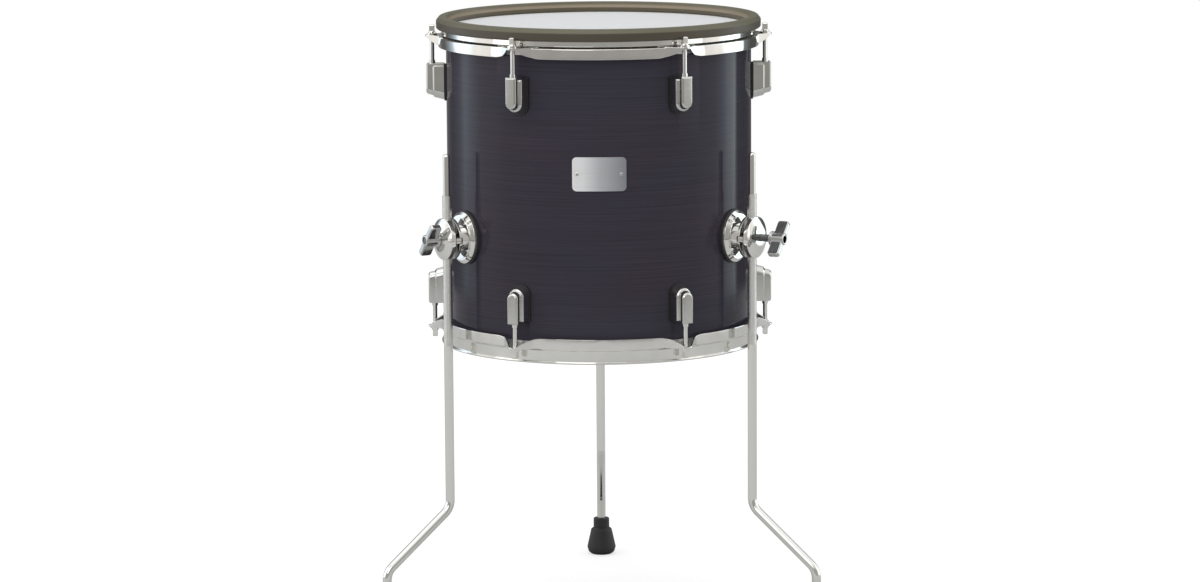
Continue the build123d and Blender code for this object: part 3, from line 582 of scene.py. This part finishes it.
def refine(name, width, segments=2, tool=None):
    """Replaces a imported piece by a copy: facets merged, hard edges rounded, then a tool's solids cut out."""
    node = nodes[name]
    material = node.material_slots[0].material
    shape = bmesh.new()
    shape.from_mesh(node.data)
    bmesh.ops.remove_doubles(shape, verts=shape.verts, dist=WELD)
    bmesh.ops.dissolve_limit(shape, angle_limit=radians(FLAT_ANGLE), verts=shape.verts, edges=shape.edges)
    hard = []
    for edge in shape.edges:
        if len(edge.link_faces) == 2 and edge.calc_face_angle(0.0) > radians(HARD_ANGLE):
            hard.append(edge)
    bmesh.ops.bevel(shape, geom=hard, offset=width, offset_type="OFFSET", segments=segments, profile=0.5,
                    affect="EDGES", clamp_overlap=False, loop_slide=True)
    if tool:
        shape = cut(shape, tool)
    piece = add_piece(shape, name + "_finished", SLOTS[name], body_of(name), material)
    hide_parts(name)


def refine_nodes():
    """Fittings, hoops, rubber and rivets, each with edges as round as such a piece has."""
    for name in list(nodes):
        if "lug_" in name and "gaskets" not in name:
            refine(name, 0.0005)
        elif name.startswith(("wing_nut", "bracket_jaw")):
            refine(name, 0.0005)
        elif name.startswith("leg_bracket"):
            refine(name, 0.0004, tool=pocket_tool(BRACKETS[name.split("_")[-1]]))
        elif name.endswith("_hoop"):
            refine(name, 0.0005)
        elif "_rod_" in name or name == "jack_nut":
            refine(name, 0.0003)
        elif name.startswith("foot_"):
            refine(name, 0.0008, segments=3)
        elif name == "rim_rubber":
            refine(name, 0.0008, segments=3)
        elif name == "badge_rivets":
            refine(name, 0.0002)


def make_thread(name, azimuth):
    """Rolled thread on the free end of a clamp bolt, with a chamfered tip."""
    outward, side, up = clamp_axes(azimuth)
    around = THREAD_SIDES
    steps = round((THREAD_END - THREAD_START) / THREAD_PITCH * THREAD_RINGS_PER_TURN)
    shape = bmesh.new()
    rings = []
    for step in range(steps + 1):
        along = THREAD_START + (THREAD_END - THREAD_START) * step / steps
        limit = THREAD_CREST - max(0.0, along - THREAD_END + THREAD_CHAMFER)
        ring = []
        for corner in range(around):
            angle = tau * corner / around
            phase = (along / THREAD_PITCH - corner / around) % 1.0
            rise = 1.0 - abs(2.0 * phase - 1.0)
            rise = min(1.0, THREAD_SHARPNESS * rise)
            radius = min(limit, THREAD_ROOT + (THREAD_CREST - THREAD_ROOT) * rise)
            centre = outward * along + up * BOLT_HEIGHT
            ring.append(shape.verts.new(centre + side * (radius * cos(angle)) + up * (radius * sin(angle))))
        rings.append(ring)
    for first, second in zip(rings, rings[1:]):
        for corner in range(around):
            after = (corner + 1) % around
            shape.faces.new((first[corner], first[after], second[after], second[corner]))
    shape.faces.new(rings[0])
    shape.faces.new(rings[-1])
    return add_piece(shape, name, "steel", "drum", BOLT)


def make_world():
    """White for the camera, and a studio that is dim behind the camera for gloss."""
    world = bpy.data.worlds.new("studio")
    bpy.context.scene.world = world
    world.use_nodes = True
    tree = world.node_tree
    tree.nodes.clear()
    out = node_of(tree, "ShaderNodeOutputWorld", (900, 0))
    source = node_of(tree, "ShaderNodeTexCoord", (-1200, 0))
    parts = node_of(tree, "ShaderNodeSeparateXYZ", (-1000, 0))
    tree.links.new(source.outputs["Generated"], parts.inputs["Vector"])
    front = node_of(tree, "ShaderNodeMath", (-800, -100))
    front.operation = "MULTIPLY"
    front.inputs[1].default_value = -1.0
    tree.links.new(parts.outputs["Y"], front.inputs[0])
    turn = node_of(tree, "ShaderNodeMath", (-600, 0))
    turn.operation = "ARCTAN2"
    tree.links.new(parts.outputs["X"], turn.inputs[0])
    tree.links.new(front.outputs["Value"], turn.inputs[1])
    share = node_of(tree, "ShaderNodeMath", (-400, 0))
    share.operation = "MULTIPLY_ADD"
    share.inputs[1].default_value = 0.5 / pi
    share.inputs[2].default_value = 0.5
    tree.links.new(turn.outputs["Value"], share.inputs[0])
    levels = [(0.5 - at / 360, at, level) for at, level in reversed(STUDIO_LEFT)]
    levels += [(0.5 + at / 360, at, level) for at, level in STUDIO_RIGHT]
    stops = []
    for place, at, level in levels:
        cool = COOLER if COOL_FROM < at < COOL_TO else -WARMER
        part = level / LEVEL_TOP
        stops.append((place, (part * (1 - cool), part, min(1.0, part * (1 + cool)))))
    scaled = ramp(tree, share.outputs["Value"], stops, (-200, 0))
    raised = node_of(tree, "ShaderNodeVectorMath", (0, -100))
    raised.operation = "SCALE"
    raised.inputs["Scale"].default_value = LEVEL_TOP
    tree.links.new(scaled, raised.inputs[0])
    sink = node_of(tree, "ShaderNodeMapRange", (-200, -500))
    sink.inputs["From Min"].default_value = DIM_FROM
    sink.inputs["From Max"].default_value = DIM_TO
    sink.inputs["To Min"].default_value = DIM_SHARE
    sink.inputs["To Max"].default_value = 1.0
    tree.links.new(parts.outputs["Z"], sink.inputs["Value"])
    dimmed = node_of(tree, "ShaderNodeVectorMath", (0, -300))
    dimmed.operation = "SCALE"
    tree.links.new(raised.outputs["Vector"], dimmed.inputs[0])
    tree.links.new(sink.outputs["Result"], dimmed.inputs["Scale"])
    round_studio = dimmed.outputs["Vector"]
    above = node_of(tree, "ShaderNodeMapRange", (-400, -300))
    above.inputs["From Min"].default_value = CEILING_FROM
    above.inputs["From Max"].default_value = CEILING_TO
    tree.links.new(parts.outputs["Z"], above.inputs["Value"])
    gloss = node_of(tree, "ShaderNodeMix", (100, 0))
    gloss.data_type = "RGBA"
    tree.links.new(above.outputs["Result"], gloss.inputs["Factor"])
    tree.links.new(round_studio, gloss.inputs["A"])
    gloss.inputs["B"].default_value = WHITE
    rays = node_of(tree, "ShaderNodeLightPath", (-200, 500))
    plain = node_of(tree, "ShaderNodeMix", (300, 100))
    plain.data_type = "RGBA"
    plain.inputs["A"].default_value = (WORLD_DIFFUSE, WORLD_DIFFUSE, WORLD_DIFFUSE, 1.0)
    tree.links.new(rays.outputs["Is Glossy Ray"], plain.inputs["Factor"])
    tree.links.new(gloss.outputs["Result"], plain.inputs["B"])
    seen = node_of(tree, "ShaderNodeMath", (100, 400))
    seen.operation = "MAXIMUM"
    tree.links.new(rays.outputs["Is Camera Ray"], seen.inputs[0])
    tree.links.new(rays.outputs["Is Transmission Ray"], seen.inputs[1])
    backdrop = node_of(tree, "ShaderNodeMix", (500, 100))
    backdrop.data_type = "RGBA"
    backdrop.inputs["B"].default_value = WHITE
    tree.links.new(seen.outputs["Value"], backdrop.inputs["Factor"])
    tree.links.new(plain.outputs["Result"], backdrop.inputs["A"])
    background = node_of(tree, "ShaderNodeBackground", (700, 0), Strength=1.0)
    tree.links.new(backdrop.outputs["Result"], background.inputs["Color"])
    tree.links.new(background.outputs["Background"], out.inputs["Surface"])


def make_floor():
    """Pale floor that reads white to the camera and keeps the shadow."""
    mesh = bpy.data.meshes.new("floor")
    shape = bmesh.new()
    bmesh.ops.create_circle(shape, cap_ends=True, radius=FLOOR_RADIUS, segments=96)
    shape.to_mesh(mesh)
    shape.free()
    floor = bpy.data.objects.new("floor", mesh)
    bpy.context.scene.collection.objects.link(floor)
    material, tree, shader = empty_material("floor")
    shader.inputs["Base Color"].default_value = (FLOOR_COLOUR, FLOOR_COLOUR, FLOOR_COLOUR, 1.0)
    shader.inputs["Roughness"].default_value = 0.9
    shader.inputs["Specular IOR Level"].default_value = 0.1
    shader.inputs["Emission Color"].default_value = WHITE
    rays = node_of(tree, "ShaderNodeLightPath", (-600, -300))
    gloss = node_of(tree, "ShaderNodeMath", (-400, -500))
    gloss.operation = "MULTIPLY"
    gloss.inputs[1].default_value = FLOOR_LIFT_IN_GLOSS
    tree.links.new(rays.outputs["Is Glossy Ray"], gloss.inputs[0])
    seen = node_of(tree, "ShaderNodeMath", (-400, -300))
    seen.operation = "MAXIMUM"
    tree.links.new(rays.outputs["Is Camera Ray"], seen.inputs[0])
    tree.links.new(rays.outputs["Is Transmission Ray"], seen.inputs[1])
    lift = node_of(tree, "ShaderNodeMath", (-200, -300))
    lift.operation = "MULTIPLY_ADD"
    lift.inputs[1].default_value = FLOOR_LIFT
    tree.links.new(seen.outputs["Value"], lift.inputs[0])
    tree.links.new(gloss.outputs["Value"], lift.inputs[2])
    tree.links.new(lift.outputs["Value"], shader.inputs["Emission Strength"])
    floor.data.materials.append(material)


def make_lamp(name, place, target, size, power):
    """Soft rectangular lamp aimed at a point."""
    light = bpy.data.lights.new(name, "AREA")
    light.shape = "RECTANGLE"
    light.size, light.size_y = size
    light.energy = power
    lamp = bpy.data.objects.new(name, light)
    bpy.context.scene.collection.objects.link(lamp)
    lamp.location = place
    lamp.rotation_euler = (Vector(target) - Vector(place)).to_track_quat("-Z", "Y").to_euler()
    return lamp


def make_lamps():
    middle = (0.0, 0.0, 0.45)
    make_lamp("lamp_top", (-0.4, -0.6, 3.0), middle, (2.4, 2.0), 13.0)
    make_lamp("lamp_front", (-1.2, -3.6, 2.2), middle, (2.0, 2.0), 17.0)
    make_lamp("lamp_left", (-2.6, -0.9, 1.3), middle, (1.0, 2.0), 7.0)
    make_lamp("lamp_right", (2.8, -1.0, 1.2), middle, (1.0, 2.0), 5.0)


def make_camera():
    data = bpy.data.cameras.new("camera")
    camera = bpy.data.objects.new("camera", data)
    bpy.context.scene.collection.objects.link(camera)
    data.sensor_fit = "HORIZONTAL"
    data.sensor_width = SENSOR
    data.lens = FOCAL_PIXELS / PHOTO_WIDTH * SENSOR
    data.clip_start = 0.1
    data.clip_end = 60.0
    tilt = Matrix.Rotation(radians(90.0 - CAMERA_PITCH_DOWN), 4, "X")
    roll = Matrix.Rotation(radians(-CAMERA_ROLL), 4, "Z")
    camera.matrix_world = Matrix.Translation(CAMERA_PLACE) @ tilt @ roll
    bpy.context.scene.camera = camera


dress_nodes()
refine_nodes()
for bracket, azimuth in BRACKETS.items():
    make_thread("bolt_thread_" + bracket, azimuth)
make_world()
make_floor()
make_lamps()
make_camera()
bpy.context.scene.view_settings.view_transform = "Standard"
